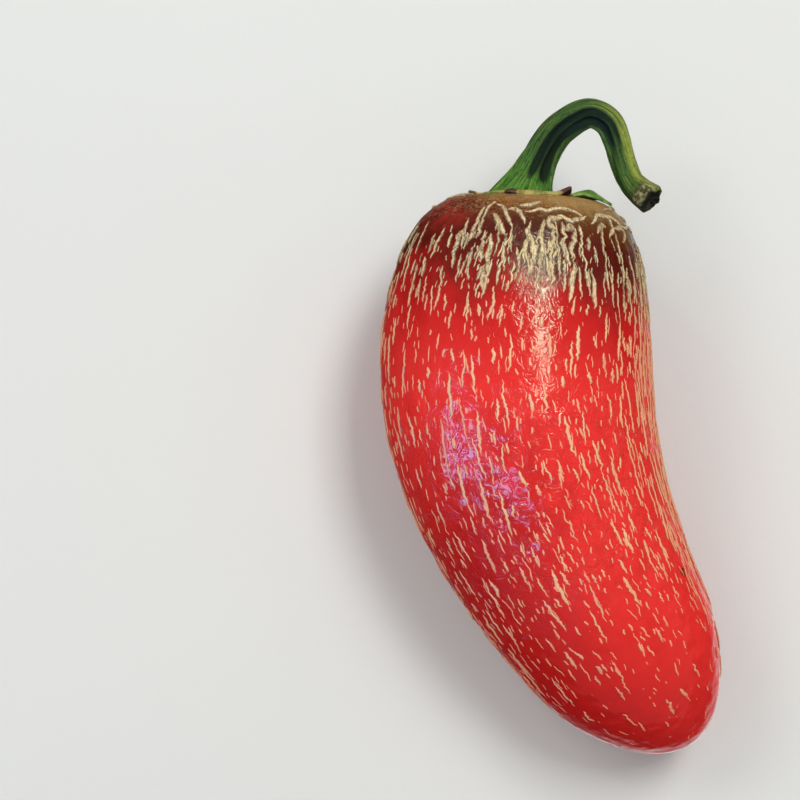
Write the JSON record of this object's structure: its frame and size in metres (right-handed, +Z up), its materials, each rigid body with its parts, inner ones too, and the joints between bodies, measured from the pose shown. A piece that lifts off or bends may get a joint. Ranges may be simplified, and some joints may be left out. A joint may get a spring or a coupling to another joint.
{
  "type": "chilli pepper",
  "caption": "Ripe red chilli pepper lying on its side: a blunt, bent pod with raised corky scars along its skin, a thin toothed calyx and a ribbed green stem that hooks over.",
  "frame": {"origin": "bottom centre of the whole pepper's box, on the surface that it lies on", "axes": "+Z up, away from the surface; +Y along the pepper towards its stem; +X to the right when it is seen from above with the stem at the top"},
  "size_m": [0.0496, 0.0932, 0.0395],
  "materials": {
    "pod_skin": "glossy, finely crinkled red skin, maroon to brown-olive at the shoulder, with raised cream-coloured corky scars",
    "calyx_green": "satin green cap, yellow-brown and dried at its edge and teeth",
    "stem_green": "satin ribbed green, darker in the grooves and yellow-green on one side, brown and dry at the cut end"
  },
  "bodies": {
    "root": {"pod": "pod_skin", "calyx": "calyx_green", "stem": "stem_green"}
  },
  "joints": []
}
